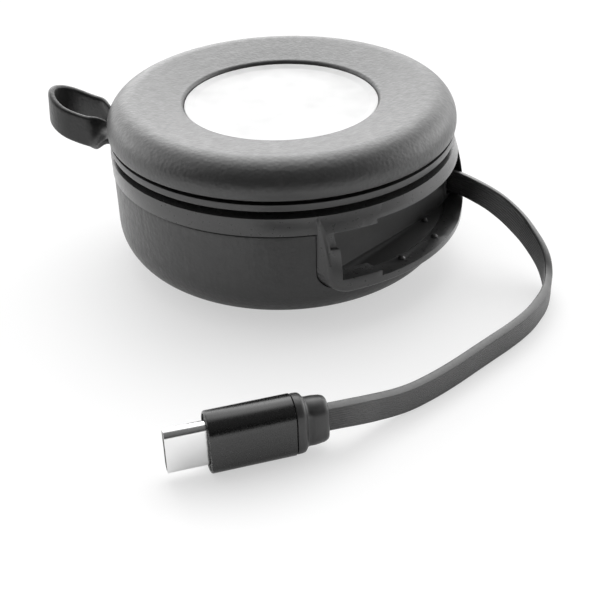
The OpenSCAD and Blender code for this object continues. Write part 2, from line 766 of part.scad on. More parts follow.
// Triangles between rings of points, with both end rings filled
function skin(rings, around) = concat(
    [for (i = [0 : rings - 2], k = [0 : around - 1], half = [0, 1])
        let (n = (k + 1) % around, a = i * around, b = a + around)
        half == 0 ? [a + k, a + n, b + n] : [a + k, b + n, b + k]],
    [[for (k = [0 : around - 1]) around - 1 - k]],
    [[for (k = [0 : around - 1]) (rings - 1) * around + k]]);

// Outline of a strip's section with its edges taken off: x by y, centred
function strip_section(x, y, soft) = [[-x + soft, -y], [x - soft, -y], [x, -y + soft], [x, y - soft],
    [x - soft, y], [-x + soft, y], [-x, y - soft], [-x, -y + soft]];

module strap_loop() {
    path = strap_path();
    count = len(path);
    profile = strip_section(strap_w / 2, strap_t / 2, 0.35);
    points = [for (i = [0 : count - 1]) let (
            before = path[max(i - 1, 0)],
            after = path[min(i + 1, count - 1)],
            plan = [after[0] - before[0], after[1] - before[1], 0],
            along = plan / norm(plan),
            out = [along[1], -along[0], 0],
            bank = strap_bank * strap_turn(path[i][0]),
            across = [0, 0, 1] * sin(bank) - out * cos(bank),
            face = out * sin(bank) + [0, 0, 1] * cos(bank))
        for (p = profile) path[i] + across * p[0] + face * p[1]];
    color("#3a3a3a") difference() {
        rotate([0, 0, strap_az]) translate([0, 0, (band_top + strip_z0) / 2])
            polyhedron(points, skin(count, len(profile)), convexity = 6);
        strap_slot();
    }
}

module strap_pins() {
    color("silver") rotate([0, 0, strap_az]) for (side = [-1, 1])
        translate([strap_pin_at, side * strap_bend, cup_top + 0.1])
            cylinder(r = strap_pin_r, h = strip_z1 - cup_top - 0.4);
}

// Ring of points round the cable at point i of the route
function cable_frame(i) = let (
        before = route[max(i - 1, 0)],
        after = route[min(i + 1, len(route) - 1)],
        along = (after - before) / norm(after - before),
        side = cross(along, [0, 0, 1]) / norm(cross(along, [0, 0, 1])))
    [side, cross(side, along)];

module flat_cable() {
    profile = strip_section(cable_t / 2, cable_w / 2, 0.35);
    points = [for (i = [0 : len(route) - 1]) let (f = cable_frame(i)) for (p = profile)
        route[i] + f[0] * p[0] + f[1] * p[1]];
    color("#333333") polyhedron(points, skin(len(route), len(profile)), convexity = 6);
}

// Frame of the plug: X from its tip end to the cable, Y across, Z up, standing on its narrow side
module on_plug(x) {
    translate([plug_x, plug_y, sleeve_w / 2]) rotate([0, 0, plug_az]) translate([x, 0, 0])
        rotate([90, 0, 90]) rotate([0, 0, 90]) children();
}

module plug_shell() {
    color("#d9d9d9") on_plug(-shell_len) linear_extrude(shell_len + 2) difference() {
        obround_2d(shell_w, shell_t);
        obround_2d(shell_w - 2 * shell_wall, shell_t - 2 * shell_wall);
    }
}

module plug_contacts() {
    gap = shell_t - 2 * shell_wall;
    color("goldenrod") on_plug(-shell_len + 1.2) for (side = [-1, 1], i = [0 : 11])
        translate([(i - 5.5) * 0.5 - 0.13, side * (gap / 2 - 0.25) - 0.15, 0]) cube([0.26, 0.3, 3.6]);
}

module plug_core() {
    color("#1a1a1a") {
        on_plug(-shell_len + 4.8) linear_extrude(shell_len - 2.4)
            obround_2d(shell_w - 2 * shell_wall, shell_t - 2 * shell_wall);
        difference() {
            on_plug(0.3) linear_extrude(sleeve_len - 0.3)
                obround_2d(sleeve_w - 2 * sleeve_wall, sleeve_t - 2 * sleeve_wall);
            on_plug(-1) linear_extrude(3.01) obround_2d(shell_w, shell_t);
        }
    }
}

module plug_sleeve() {
    color("#2c2c2c") on_plug(0) linear_extrude(sleeve_len) difference() {
        obround_2d(sleeve_w, sleeve_t);
        obround_2d(sleeve_w - 2 * sleeve_wall, sleeve_t - 2 * sleeve_wall);
    }
}

// One ring of points round a rounded oblong section at x
function oblong(x, w, t) = [for (i = [0 : 31]) let (a = (i + 0.5) * 11.25, side = cos(a) > 0 ? 1 : -1)
    [side * (w - t) / 2 + t / 2 * cos(a), t / 2 * sin(a), x]];

// Ring, neck and collar behind the sleeve: distance along the plug, width and thickness of each section
function overmould_sections() = let (a = sleeve_len, b = a + ring_len, c = b + neck_len, d = c + collar_len) [
    [a, sleeve_w - 0.5, sleeve_t - 0.5], [a + 0.25, sleeve_w - 0.1, sleeve_t - 0.1],
    [b - 0.6, sleeve_w - 0.2, sleeve_t - 0.2], [b - 0.15, sleeve_w - 0.8, sleeve_t - 0.8],
    [b + 0.1, sleeve_w - 1.9, sleeve_t - 1.6], [c - 0.2, sleeve_w - 2, sleeve_t - 1.7],
    [c + 0.1, sleeve_w - 2.3, sleeve_t - 1.3], [c + 0.5, sleeve_w - 2.3, sleeve_t - 1.2],
    [d - 0.8, sleeve_w - 2.6, sleeve_t - 1.5], [d - 0.25, sleeve_w - 3, sleeve_t - 1.9],
    [d, sleeve_w - 3.6, sleeve_t - 2.5]];

module plug_overmould() {
    sections = overmould_sections();
    points = [for (s = sections) for (p = oblong(s[0], s[1], s[2])) p];
    color("#262626") on_plug(0) polyhedron(points, skin(len(sections), 32), convexity = 4);
}

foot_pad();
base_cup();
side_leather();
bezel_band();
bay_liner();
cable_guide();
mid_plate();
mid_screws();
top_carrier();
carrier_screws();
pad_core();
top_leather();
charging_disc();
charging_coil();
ferrite_plate();
circuit_board();
board_parts();
board_screws();
centre_post();
reel();
reel_cap();
wound_cable();
power_spring();
spring_cover();
contact_rings();
contact_fingers();
pawl();
pawl_pin();
pawl_spring();
strap_loop();
strap_pins();
flat_cable();
plug_shell();
plug_contacts();
plug_core();
plug_sleeve();
plug_overmould();
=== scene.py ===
# Looks of a round leather-covered wireless charger with a flat pull-out USB-C cable.
# Lengths are written in millimetres and turned into metres where a mesh is made.
import math

import bmesh
import bpy
from mathutils import Matrix, Vector


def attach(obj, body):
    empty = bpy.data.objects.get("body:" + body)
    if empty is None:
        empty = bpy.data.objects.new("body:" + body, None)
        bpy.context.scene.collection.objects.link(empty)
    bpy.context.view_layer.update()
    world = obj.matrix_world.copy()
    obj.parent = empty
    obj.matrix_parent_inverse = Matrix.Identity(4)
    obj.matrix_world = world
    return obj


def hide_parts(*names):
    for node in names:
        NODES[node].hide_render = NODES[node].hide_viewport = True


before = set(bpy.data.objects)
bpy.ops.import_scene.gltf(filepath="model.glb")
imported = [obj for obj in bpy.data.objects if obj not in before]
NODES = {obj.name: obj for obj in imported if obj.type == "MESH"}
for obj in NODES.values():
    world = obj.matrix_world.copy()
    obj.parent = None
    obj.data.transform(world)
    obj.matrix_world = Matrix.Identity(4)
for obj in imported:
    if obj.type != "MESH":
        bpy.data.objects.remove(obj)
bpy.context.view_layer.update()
MM = 0.001
UP = Vector((0, 0, 1))

# Camera: where it stands, where it looks and what is up in the picture
CAMERA_AT = Vector((0.1, -210.3, 121.6)) * MM
LOOK_ALONG = Vector((0.0092, 0.8375, -0.5463))
PICTURE_UP = Vector((0.0387, 0.5457, 0.8371))
LENS_MM = 69.0

# Cable: middle line from the reel to the back of the plug, as the solid model has it
ROUTE = [
    (14.2, 14.2, 15), (20.2, 8.2, 15), (26.2, 2.2, 15), (30.2, -1.8, 15), (33.2, -4.8, 15),
    (35.4, -6.8, 14.9), (37.9, -9, 14.4), (40.8, -11.1, 13.3), (43.7, -13, 11.4), (46.4, -15.3, 9),
    (48.3, -18.1, 6.9), (49.4, -20.6, 5.2), (49.8, -23, 3.7), (49.6, -25.4, 2.9), (48.9, -28, 2.6),
    (47.7, -31, 2.5), (46, -34, 2.5), (44, -37, 2.5), (41.6, -39.8, 2.5), (38.8, -42.6, 2.5),
    (35.7, -45.4, 2.5), (32.4, -48.4, 2.5), (29, -51.5, 2.5), (25.6, -54.4, 2.5), (22.6, -56.8, 2.6),
    (19.8, -58.9, 2.8), (16.9, -60.9, 3.3), (13.8, -62.8, 4), (10.9, -64.7, 4.9), (8.1, -66.1, 5.5),
    (5.3, -66.8, 5.5),
]
# Steps of the smooth line to each span of the route, and the cable's section with its ribs
ROUTE_STEPS = 10
CABLE_WIDTH = 5.0
CABLE_THICK = 1.5
CABLE_ROUND = 0.4
RIB_PITCH = 0.46
RIB_DEPTH = 0.07

# Plug: its place, heading and sizes
PLUG_AT = Vector((-13.7, -71.9, 5.5))
PLUG_AZIMUTH = math.radians(15)
SHELL_WIDTH, SHELL_THICK, SHELL_LENGTH, SHELL_WALL = 8.34, 2.56, 6.65, 0.3
SHELL_LIP, SHELL_INSIDE_SLEEVE = 0.12, 1.0
SLEEVE_WIDTH, SLEEVE_THICK, SLEEVE_LENGTH = 11.0, 6.5, 14.0
SLEEVE_EDGE, SLEEVE_NARROWING = 0.35, 1.0

# Overmould behind the sleeve: distance from the sleeve's end, width and thickness of each section
OVERMOULD = [
    (0.0, 10.2, 5.7), (0.02, 10.5, 6.0), (0.12, 10.75, 6.25), (0.25, 10.8, 6.3), (1.0, 10.75, 6.25),
    (1.35, 10.6, 6.1), (1.6, 10.2, 5.75), (1.8, 9.6, 5.25), (2.0, 9.1, 4.9), (2.2, 8.95, 4.8),
    (2.5, 8.85, 4.85), (2.8, 8.8, 5.1), (3.2, 8.75, 5.3), (3.9, 8.6, 5.2), (4.7, 8.4, 5.0),
    (5.1, 8.15, 4.75), (5.4, 7.8, 4.4), (5.55, 7.4, 4.0), (5.6, 7.0, 3.6),
]

# Leather cover of the body: outer radius, rounding at the floor, thickness and top; height of its
# underside, rounding of its folded top edge, inner radius underneath, and gap round the frame
SKIRT_R, SKIRT_ROUND, SKIRT_THICK, SKIRT_TOP = 33.9, 9.0, 1.3, 19.95
SKIRT_FLOOR, SKIRT_FOLD, SKIRT_FOOT_R, SKIRT_GAP = 0.3, 0.45, 22.7, 0.14

# Pad: centre and radius of its rounded edge, and its slope down towards the disc
DOME_R, DOME_Z, DOME_ROUND, DOME_SLOPE = 29.1, 28.2, 5.2, math.radians(8.8)
PAD_UNDER, PAD_LIP, PAD_INNER_R = 27.0, 0.8, 22.4

# Charging disc: radii of its rim, flat and flange, and its heights
DISC_R, DISC_FLAT_R, DISC_FLANGE_R = 19.1, 17.3, 22.2
DISC_TOP, DISC_FLANGE_TOP, DISC_UNDER = 30.9, 30.4, 29.7

# Frame of the plug bay, which looks out at this azimuth: outline, and the ball that its face lies on
FRAME_AZIMUTH = math.radians(-45)
FRAME_LEFT, FRAME_RIGHT, FRAME_BOTTOM, FRAME_CORNER = -19.9, 24.2, 8.0, 4.0
FRAME_R, FRAME_DOME_Z = 36.3, 11.1

# Rounding of the frame's rim: radius, spacing of the points along it, steps round it, and how far
# the bar that cuts it reaches outside
RIM_ROUND, RIM_STEP, RIM_STEPS, RIM_REACH = 0.8, 1.2, 8, 1.5

# Strap loop: azimuth, section, bend at its end, and how it twists and rises on its way out
STRAP_AZIMUTH = math.radians(168.5)
STRAP_WIDTH, STRAP_THICK, STRAP_SOFT, STRAP_BEND = 6.4, 1.3, 0.6, 4.9
STRAP_ROOT, STRAP_END, STRAP_Z = 31.4, 42.4, 24.325
STRAP_TURN_FROM, STRAP_TURN_TO = 33.8, 39.0
STRAP_BANK, STRAP_RISE = math.radians(86), 4.4


def link(obj):
    """Puts an object into the scene."""
    bpy.context.scene.collection.objects.link(obj)
    return obj


def new_mesh(name, points, faces, material, smooth_angle=40):
    """Makes an object from points in millimetres and gives it smooth shading up to an angle."""
    mesh = bpy.data.meshes.new(name)
    mesh.from_pydata([Vector(p) * MM for p in points], [], faces)
    mesh.validate()
    return dress(link(bpy.data.objects.new(name, mesh)), material, smooth_angle)


def dress(obj, material, smooth_angle=40):
    """Gives an object its one material, and smooth shading up to an angle."""
    mesh = obj.data
    mesh.materials.clear()
    mesh.materials.append(material)
    mesh.polygons.foreach_set("use_smooth", [True] * len(mesh.polygons))
    mesh.set_sharp_from_angle(angle=math.radians(smooth_angle))
    return obj


def stands_for(obj, body, slot, *nodes):
    """Says which body a piece rides on and which CAD nodes it shows; the slot is not used."""
    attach(obj, body)
    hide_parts(*nodes)
    return obj


def ring_faces(rings, around, loop_rings=False):
    """Quads between rings of points, with the end rings filled or the last joined to the first."""
    faces = []
    last = rings if loop_rings else rings - 1
    for i in range(last):
        j = (i + 1) % rings
        for k in range(around):
            n = (k + 1) % around
            faces.append((i * around + k, i * around + n, j * around + n, j * around + k))
    if not loop_rings:
        faces.append(tuple(reversed(range(around))))
        faces.append(tuple((rings - 1) * around + k for k in range(around)))
    return faces


def arc(centre, radius, start, end, steps):
    """Points on an arc in the plane of radius and height; angles in degrees from straight outward."""
    turn = [math.radians(start + (end - start) * i / steps) for i in range(steps + 1)]
    return [(centre[0] + radius * math.cos(a), centre[1] + radius * math.sin(a)) for a in turn]


def turned(profile, segments):
    """Points of a (radius, height) outline at that many places round the axis."""
    points = []
    for i in range(segments):
        a = 2 * math.pi * i / segments
        points += [(r * math.cos(a), r * math.sin(a), z) for r, z in profile]
    return points


def revolve(name, profile, material, segments, smooth_angle):
    """Turns a closed outline of (radius, height) round the axis."""
    points = turned(profile, segments)
    faces = [tuple(reversed(f)) for f in ring_faces(segments, len(profile), loop_rings=True)]
    return new_mesh(name, points, faces, material, smooth_angle)


def disc_revolve(name, profile, material, segments, smooth_angle):
    """Turns an outline that starts and ends on the axis; its ends close in one point each."""
    inner = profile[1:-1]
    points = [(0, 0, profile[0][1]), (0, 0, profile[-1][1])] + turned(inner, segments)
    count = len(inner)
    faces = []
    for i in range(segments):
        j = (i + 1) % segments
        a, b = 2 + i * count, 2 + j * count
        faces.append((0, b, a))
        faces += [(a + k, b + k, b + k + 1, a + k + 1) for k in range(count - 1)]
        faces.append((a + count - 1, b + count - 1, 1))
    return new_mesh(name, points, faces, material, smooth_angle)


def apply_modifiers(obj):
    """Gives an object the mesh that its modifiers make, and takes them off."""
    bpy.context.view_layer.update()
    done = obj.evaluated_get(bpy.context.evaluated_depsgraph_get())
    mesh = bpy.data.meshes.new_from_object(done)
    obj.modifiers.clear()
    obj.data = mesh
    return obj


def cut(obj, cutter):
    """Takes the cutter's volume off an object, and removes the cutter."""
    boolean = obj.modifiers.new("cut", "BOOLEAN")
    boolean.operation = "DIFFERENCE"
    boolean.solver = "EXACT"
    boolean.object = cutter
    apply_modifiers(obj)
    bpy.data.objects.remove(cutter)
    return obj


def softened(node, name, material, radius, slot):
    """Stands a copy of a CAD node in its place, with its sharp edges rounded by that radius."""
    merge_within, flat_within, sharp_from = 0.002, math.radians(0.4), math.radians(28)
    obj = link(bpy.data.objects.new(name, NODES[node].data.copy()))
    bm = bmesh.new()
    bm.from_mesh(obj.data)
    bmesh.ops.remove_doubles(bm, verts=bm.verts, dist=merge_within * MM)
    bmesh.ops.dissolve_limit(bm, angle_limit=flat_within, verts=bm.verts, edges=bm.edges)
    sharp = [e for e in bm.edges if len(e.link_faces) == 2 and e.calc_face_angle(0) > sharp_from]
    bmesh.ops.bevel(bm, geom=sharp, offset=radius * MM, segments=3, profile=0.5,
                    affect="EDGES", clamp_overlap=True)
    clean = bpy.data.meshes.new(name)
    bm.to_mesh(clean)
    bm.free()
    obj.data = clean
    dress(obj, material)
    return stands_for(obj, "housing", slot, node)


def face_outward(obj):
    """Turns all faces of a closed mesh to look outward."""
    bm = bmesh.new()
    bm.from_mesh(obj.data)
    bmesh.ops.recalc_face_normals(bm, faces=bm.faces)
    bm.to_mesh(obj.data)
    bm.free()
    return obj


def heading(line, i):
    """Which way a line of points runs at point i, not normalized."""
    return line[min(i + 1, len(line) - 1)] - line[max(i - 1, 0)]


# Materials
NOISE_RANGE = (0.3, 0.7)


def set_range(node, from_min, from_max, to_min, to_max):
    """Sets the four numbers of a Map Range node."""
    node.inputs["From Min"].default_value = from_min
    node.inputs["From Max"].default_value = from_max
    node.inputs["To Min"].default_value = to_min
    node.inputs["To Max"].default_value = to_max


class Paint:
    """A Principled material whose nodes are added a few at a time."""

    def __init__(self, name, colour, roughness, metallic=0.0, **sockets):
        self.material = bpy.data.materials.new(name)
        self.material.use_nodes = True
        self.tree = self.material.node_tree
        self.shader = self.tree.nodes["Principled BSDF"]
        self.shader.inputs["Base Color"].default_value = (*colour, 1)
        self.shader.inputs["Roughness"].default_value = roughness
        self.shader.inputs["Metallic"].default_value = metallic
        for socket, value in sockets.items():
            self.shader.inputs[socket.replace("_", " ")].default_value = value
        self.place = self.node("ShaderNodeTexCoord").outputs["Object"]
        self.normal = None

    def node(self, kind, **settings):
        made = self.tree.nodes.new(kind)
        for key, value in settings.items():
            if key in made.inputs:
                made.inputs[key].default_value = value
            else:
                setattr(made, key, value)
        return made

    def join(self, output, node, socket):
        self.tree.links.new(output, node.inputs[socket])

    def stretched(self, scale):
        """The object's place with each axis scaled, for grain that runs one way."""
        mapping = self.node("ShaderNodeMapping", Scale=scale)
        self.join(self.place, mapping, "Vector")
        return mapping.outputs["Vector"]

    def noise(self, size_mm, detail=4.0, vector=None):
        made = self.node("ShaderNodeTexNoise", Scale=1 / (size_mm * MM), Detail=detail, Roughness=0.6)
        self.join(vector or self.place, made, "Vector")
        return made.outputs["Fac"]

    def cells(self, size_mm):
        made = self.node("ShaderNodeTexVoronoi", Scale=1 / (size_mm * MM), feature="SMOOTH_F1")
        made.inputs["Smoothness"].default_value = 0.6
        self.join(self.place, made, "Vector")
        return made.outputs["Distance"]

    def ramp(self, value, low, high):
        """Maps a noise value to a colour between low and high."""
        made = self.node("ShaderNodeValToRGB")
        for element, place, colour in zip(made.color_ramp.elements, NOISE_RANGE, (low, high)):
            element.position = place
            element.color = (*colour, 1)
        self.join(value, made, "Fac")
        return made.outputs["Color"]

    def span(self, value, low, high):
        """Maps a noise value to a number between low and high."""
        made = self.node("ShaderNodeMapRange")
        set_range(made, *NOISE_RANGE, low, high)
        self.join(value, made, "Value")
        return made.outputs["Result"]

    def colour(self, value):
        self.join(value, self.shader, "Base Color")
        return self

    def roughness(self, value):
        self.join(value, self.shader, "Roughness")
        return self

    def bump(self, height, depth_mm, strength=1.0):
        """Adds a bump of that depth over those already there."""
        made = self.node("ShaderNodeBump", Strength=strength, Distance=depth_mm * MM)
        self.join(height, made, "Height")
        if self.normal:
            self.join(self.normal, made, "Normal")
        self.normal = made.outputs["Normal"]
        self.join(self.normal, self.shader, "Normal")
        return self


def grey(level):
    return (level, level, level)


def scaled(colour, factor):
    return [c * factor for c in colour]


def leather(name, level, grain, gloss, creases=0.0):
    """Pebbled leather: cells with fine pores, a mottled tone, and upright creases where stretched."""
    paint = Paint(name, grey(level), 0.42, Specular_IOR_Level=gloss, Sheen_Weight=0.04,
                  Sheen_Roughness=0.5)
    tone = paint.noise(7.0, 3.0)
    paint.colour(paint.ramp(tone, grey(level * 0.85), grey(level * 1.2)))
    paint.roughness(paint.span(paint.noise(1.4), 0.38, 0.48))
    paint.bump(paint.noise(3.0, 2.0), 0.014)
    paint.bump(paint.cells(grain), 0.05, 0.8)
    paint.bump(paint.noise(grain * 0.35, 3.0), 0.02, 0.7)
    if creases:
        upright = paint.stretched((1, 1, 0.16))
        paint.bump(paint.noise(1.6, 2.0, vector=upright), creases, 0.7)
    return paint.material


def plastic(name, level, roughness=0.42, grain=0.16, tint=(1, 1, 1), gloss=0.5):
    """Moulded plastic with a fine spark-eroded grain."""
    colour = scaled(tint, level)
    paint = Paint(name, colour, roughness, Specular_IOR_Level=gloss)
    paint.colour(paint.ramp(paint.noise(9.0, 2.0), scaled(colour, 0.93), scaled(colour, 1.08)))
    paint.roughness(paint.span(paint.noise(0.9), roughness - 0.04, roughness + 0.05))
    return paint.bump(paint.noise(grain, 2.0), 0.006, 0.6).material


def metal(name, colour, roughness):
    """Plated or drawn metal with a fine grain."""
    paint = Paint(name, colour, roughness, metallic=1.0)
    grain = paint.noise(0.35, 3.0)
    paint.roughness(paint.span(grain, roughness * 0.8, roughness * 1.25))
    paint.colour(paint.ramp(paint.noise(4.0), scaled(colour, 0.95), colour))
    return paint.bump(grain, 0.002, 0.5).material


def rubber(name, level):
    """Matte rubber with a fine grain."""
    paint = Paint(name, grey(level), 0.7, Specular_IOR_Level=0.4)
    paint.colour(paint.ramp(paint.noise(3.0), grey(level * 0.85), grey(level * 1.15)))
    return paint.bump(paint.noise(0.12, 3.0), 0.012, 0.6).material


BODY_LEATHER = leather("body_leather", 0.008, 0.8, 0.66, creases=0.1)
PAD_LEATHER = leather("pad_leather", 0.013, 0.7, 0.75)
STRAP_LEATHER = leather("strap_leather", 0.012, 0.6, 0.5)
BAND_PLASTIC = plastic("band_plastic", 0.03, 0.3, gloss=0.6)
BAY_PLASTIC = plastic("bay_plastic", 0.016, 0.42, gloss=0.8)
STRIP_PLASTIC = plastic("strip_plastic", 0.012, 0.38, gloss=0.7)
INNER_PLASTIC = plastic("inner_plastic", 0.03, 0.55)
REEL_PLASTIC = plastic("reel_plastic", 0.6, 0.5, tint=(1, 0.98, 0.93))
DISC_WHITE = plastic("disc_white", 0.62, 0.6, grain=0.2, gloss=0.15)
SLEEVE_GLOSS = metal("sleeve_gloss", grey(0.055), 0.26)
MOULD_DARK = plastic("mould_dark", 0.024, 0.36, grain=0.2)
CABLE_DARK = plastic("cable_dark", 0.012, 0.42, grain=0.2, gloss=0.9)
SHELL_STEEL = metal("shell_steel", grey(0.68), 0.2)
SCREW_STEEL = metal("screw_steel", (0.62, 0.62, 0.63), 0.35)
SPRING_STEEL = metal("spring_steel", (0.42, 0.43, 0.46), 0.3)
BRASS = metal("brass", (0.78, 0.56, 0.25), 0.3)
COPPER = metal("copper", (0.72, 0.33, 0.17), 0.35)
FERRITE = plastic("ferrite", 0.06, 0.6)
BOARD_GREEN = plastic("board_green", 0.2, 0.3, tint=(0.12, 0.6, 0.3))
CHIP_BLACK = plastic("chip_black", 0.015, 0.5)
FOOT_RUBBER = rubber("foot_rubber", 0.02)


# Camera and cable come first
def make_camera():
    """The photograph's camera."""
    camera = bpy.data.cameras.new("camera")
    camera.lens = LENS_MM
    camera.clip_start = 0.01
    obj = link(bpy.data.objects.new("camera", camera))
    forward = LOOK_ALONG.normalized()
    right = forward.cross(PICTURE_UP).normalized()
    up = right.cross(forward)
    turn = Matrix((right, up, -forward)).transposed().to_4x4()
    obj.matrix_world = Matrix.Translation(CAMERA_AT) @ turn
    bpy.context.scene.camera = obj


def spline(points, steps):
    """A smooth line through the points, with that many steps to each of their spans."""
    ends = [points[0] * 2 - points[1]] + points + [points[-1] * 2 - points[-2]]
    line = []
    for i in range(1, len(ends) - 2):
        a, b, c, d = ends[i - 1:i + 3]
        for step in range(steps):
            t = step / steps
            line.append(0.5 * (2 * b + (c - a) * t + (2 * a - 5 * b + 4 * c - d) * t ** 2
                               + (3 * b - a - 3 * c + d) * t ** 3))
    return line + [points[-1]]


def ribbed_section():
    """Outline of the flat cable: x across its thickness and y across its width."""
    flat = CABLE_WIDTH / 2 - CABLE_ROUND
    steps_per_rib = 8
    steps = steps_per_rib * round(2 * flat / RIB_PITCH)
    side = []
    for i in range(steps + 1):
        y = -flat + 2 * flat * i / steps
        rib = (1 - math.cos(2 * math.pi * (y + flat) / RIB_PITCH)) / 2
        side.append((CABLE_THICK / 2 - RIB_DEPTH * rib, y))
    top = arc((CABLE_THICK / 2 - CABLE_ROUND, flat), CABLE_ROUND, 15, 90, 5)
    half = side + top
    return half + [(-x, -y) for x, y in half]


def make_cable():
    """The ribbed cable along its route; gives back its object, its line in metres and its length."""
    line = spline([Vector(p) for p in ROUTE], ROUTE_STEPS)
    section = ribbed_section()
    points = []
    for i, here in enumerate(line):
        along = heading(line, i).normalized()
        side = along.cross(UP).normalized()
        lift = side.cross(along)
        points += [here + side * x + lift * y for x, y in section]
    faces = ring_faces(len(line), len(section))
    cable = new_mesh("flat_cable_ribbed", points, faces, CABLE_DARK, 60)
    path = [tuple(p * MM) for p in line]
    length = sum((b - a).length for a, b in zip(line, line[1:])) * MM
    stands_for(cable, "housing", "cable_jacket", "flat_cable")
    return cable, path, length


# Plug pieces, drawn along +X from the front of the sleeve
SECTION_POINTS = 64


def on_plug(points):
    """Moves points from the plug's own frame to its place on the floor."""
    turn = Matrix.Translation(PLUG_AT) @ Matrix.Rotation(PLUG_AZIMUTH, 4, "Z")
    return [turn @ Vector(p) for p in points]


def oblong(x, width, thick):
    """A ring of points round a section with half-round ends, standing on its narrow side."""
    ring = []
    for k in range(SECTION_POINTS):
        a = 2 * math.pi * (k + 0.5) / SECTION_POINTS
        rise = math.copysign((width - thick) / 2, math.sin(a))
        ring.append((x, thick / 2 * math.cos(a), rise + thick / 2 * math.sin(a)))
    return ring


def loft(name, sections, material, loop_rings=False):
    """Joins oblong sections, each a place along the plug, a width and a thickness."""
    points = []
    for section in sections:
        points += oblong(*section)
    faces = ring_faces(len(sections), SECTION_POINTS, loop_rings=loop_rings)
    return new_mesh(name, on_plug(points), faces, material, 35)


def make_shell():
    """Rolled steel shell, open at its front, with a rounded lip."""
    def section(x, less):
        return x, SHELL_WIDTH - less, SHELL_THICK - less

    front, wall = -SHELL_LENGTH, 2 * SHELL_WALL
    shell = loft("plug_shell_rolled", [
        section(SHELL_INSIDE_SLEEVE, 0),
        section(front + SHELL_LIP, 0),
        section(front + SHELL_LIP * 0.3, SHELL_LIP * 0.6),
        section(front, SHELL_LIP * 2),
        section(front + 0.05, wall),
        section(SHELL_INSIDE_SLEEVE, wall),
    ], SHELL_STEEL, loop_rings=True)
    return stands_for(shell, "housing", "plug_steel", "plug_shell")


def make_sleeve():
    """Glossy sleeve with rounded front edges and a small step at its back."""
    def section(x, less):
        return x, SLEEVE_WIDTH - less, SLEEVE_THICK - less

    back, edge = SLEEVE_LENGTH, SLEEVE_EDGE
    sleeve = loft("plug_sleeve_smooth", [
        section(edge, SLEEVE_NARROWING),
        section(0.05, SLEEVE_NARROWING - 0.1),
        section(0.0, edge * 2),
        section(edge * 0.3, edge * 0.6),
        section(edge, 0),
        section(back - 0.15, 0),
        section(back - 0.02, 0.3),
        section(back - 0.02, SLEEVE_NARROWING),
    ], SLEEVE_GLOSS, loop_rings=True)
    return stands_for(sleeve, "housing", "sleeve_gloss", "plug_sleeve")


def make_overmould():
    """Matte ring, neck and collar between the sleeve and the cable."""
    sections = [(SLEEVE_LENGTH + x, width, thick) for x, width, thick in OVERMOULD]
    overmould = loft("plug_overmould_smooth", sections, MOULD_DARK)
    return stands_for(overmould, "housing", "dark_plastic", "plug_overmould")


make_camera()
cable, cable_path, cable_length = make_cable()
plug_pieces = [make_shell(), make_sleeve(), make_overmould(), "plug_contacts", "plug_core"]


# Pad and charging disc
def dome_line(r):
    """Height of the pad's slope towards the disc at radius r."""
    sine, cosine = math.sin(DOME_SLOPE), math.cos(DOME_SLOPE)
    return (-sine * (DOME_R - r) + cosine * DOME_Z + DOME_ROUND) / cosine


def make_pad():
    """Leather ring: rounded outer edge, slope towards the disc, rolled lip and a turned-in heel."""
    lip_r = DISC_R + PAD_LIP
    lip_at = (lip_r, dome_line(lip_r) - PAD_LIP)
    low = math.degrees(math.asin((PAD_UNDER - DOME_Z + 0.35) / DOME_ROUND))
    outer = arc((DOME_R, DOME_Z), DOME_ROUND, low, 90 + math.degrees(DOME_SLOPE), 36)
    slope = [(r, dome_line(r)) for r in (26.5, 25.0, 23.5, 22.0, 21.0)]
    inner = arc(lip_at, PAD_LIP, 92, 180, 12)
    under = [(DISC_R, 30.6), (PAD_INNER_R, 30.55), (PAD_INNER_R, PAD_UNDER + 0.02)]
    heel = [(33.4, PAD_UNDER + 0.02), (33.8, PAD_UNDER + 0.04), (34.1, PAD_UNDER + 0.15)]
    pad = revolve("top_leather_pad", outer + slope + inner + under + heel, PAD_LEATHER, 320, 50)
    stands_for(pad, "housing", "leather", "top_leather", "pad_core")


def make_disc():
    """Charging disc: a flange under the pad, a rim that slopes down and a flat middle."""
    edge = 0.12
    edge_r, crest_r = DISC_R - 0.08, DISC_R - 0.3
    rim = dome_line(DISC_R) - 0.6
    profile = [(0, DISC_UNDER), (DISC_FLANGE_R, DISC_UNDER), (DISC_FLANGE_R, DISC_FLANGE_TOP)]
    profile += [(edge_r, DISC_FLANGE_TOP), (edge_r, rim - edge)]
    profile += [(DISC_R - 0.12, rim - 0.02), (crest_r, rim)]
    for out, up in ((0.72, 0.72), (0.45, 0.42), (0.25, 0.2), (0.1, 0.06), (0, 0)):
        profile.append((DISC_FLAT_R + (crest_r - DISC_FLAT_R) * out, DISC_TOP + (rim - DISC_TOP) * up))
    profile += [(12.0, DISC_TOP), (6.0, DISC_TOP), (0, DISC_TOP)]
    disc = disc_revolve("charging_disc_smooth", profile, DISC_WHITE, 256, 30)
    stands_for(disc, "housing", "white_disc", "charging_disc")


# Leather round the side, with an opening for the frame of the plug bay
def frame_outline(grow):
    """The frame's outline in the bay's own plane: along the bay and height."""
    left, right = FRAME_LEFT - grow, FRAME_RIGHT + grow
    low, high = FRAME_BOTTOM - grow, SKIRT_TOP + 3
    corner_z = low + FRAME_CORNER
    points = [(left, high)]
    points += arc((left + FRAME_CORNER, corner_z), FRAME_CORNER, 180, 270, 16)
    points += arc((right - FRAME_CORNER, corner_z), FRAME_CORNER, 270, 360, 16)
    return points + [(right, high)]


def bay_prism(name, outline, x0, x1):
    """A plate with that outline across the bay, from x0 out to x1."""
    turn = Matrix.Rotation(FRAME_AZIMUTH, 4, "Z")
    points = [turn @ Vector((x, y, z)) for x in (x0, x1) for y, z in outline]
    return face_outward(new_mesh(name, points, ring_faces(2, len(outline)), BAND_PLASTIC))


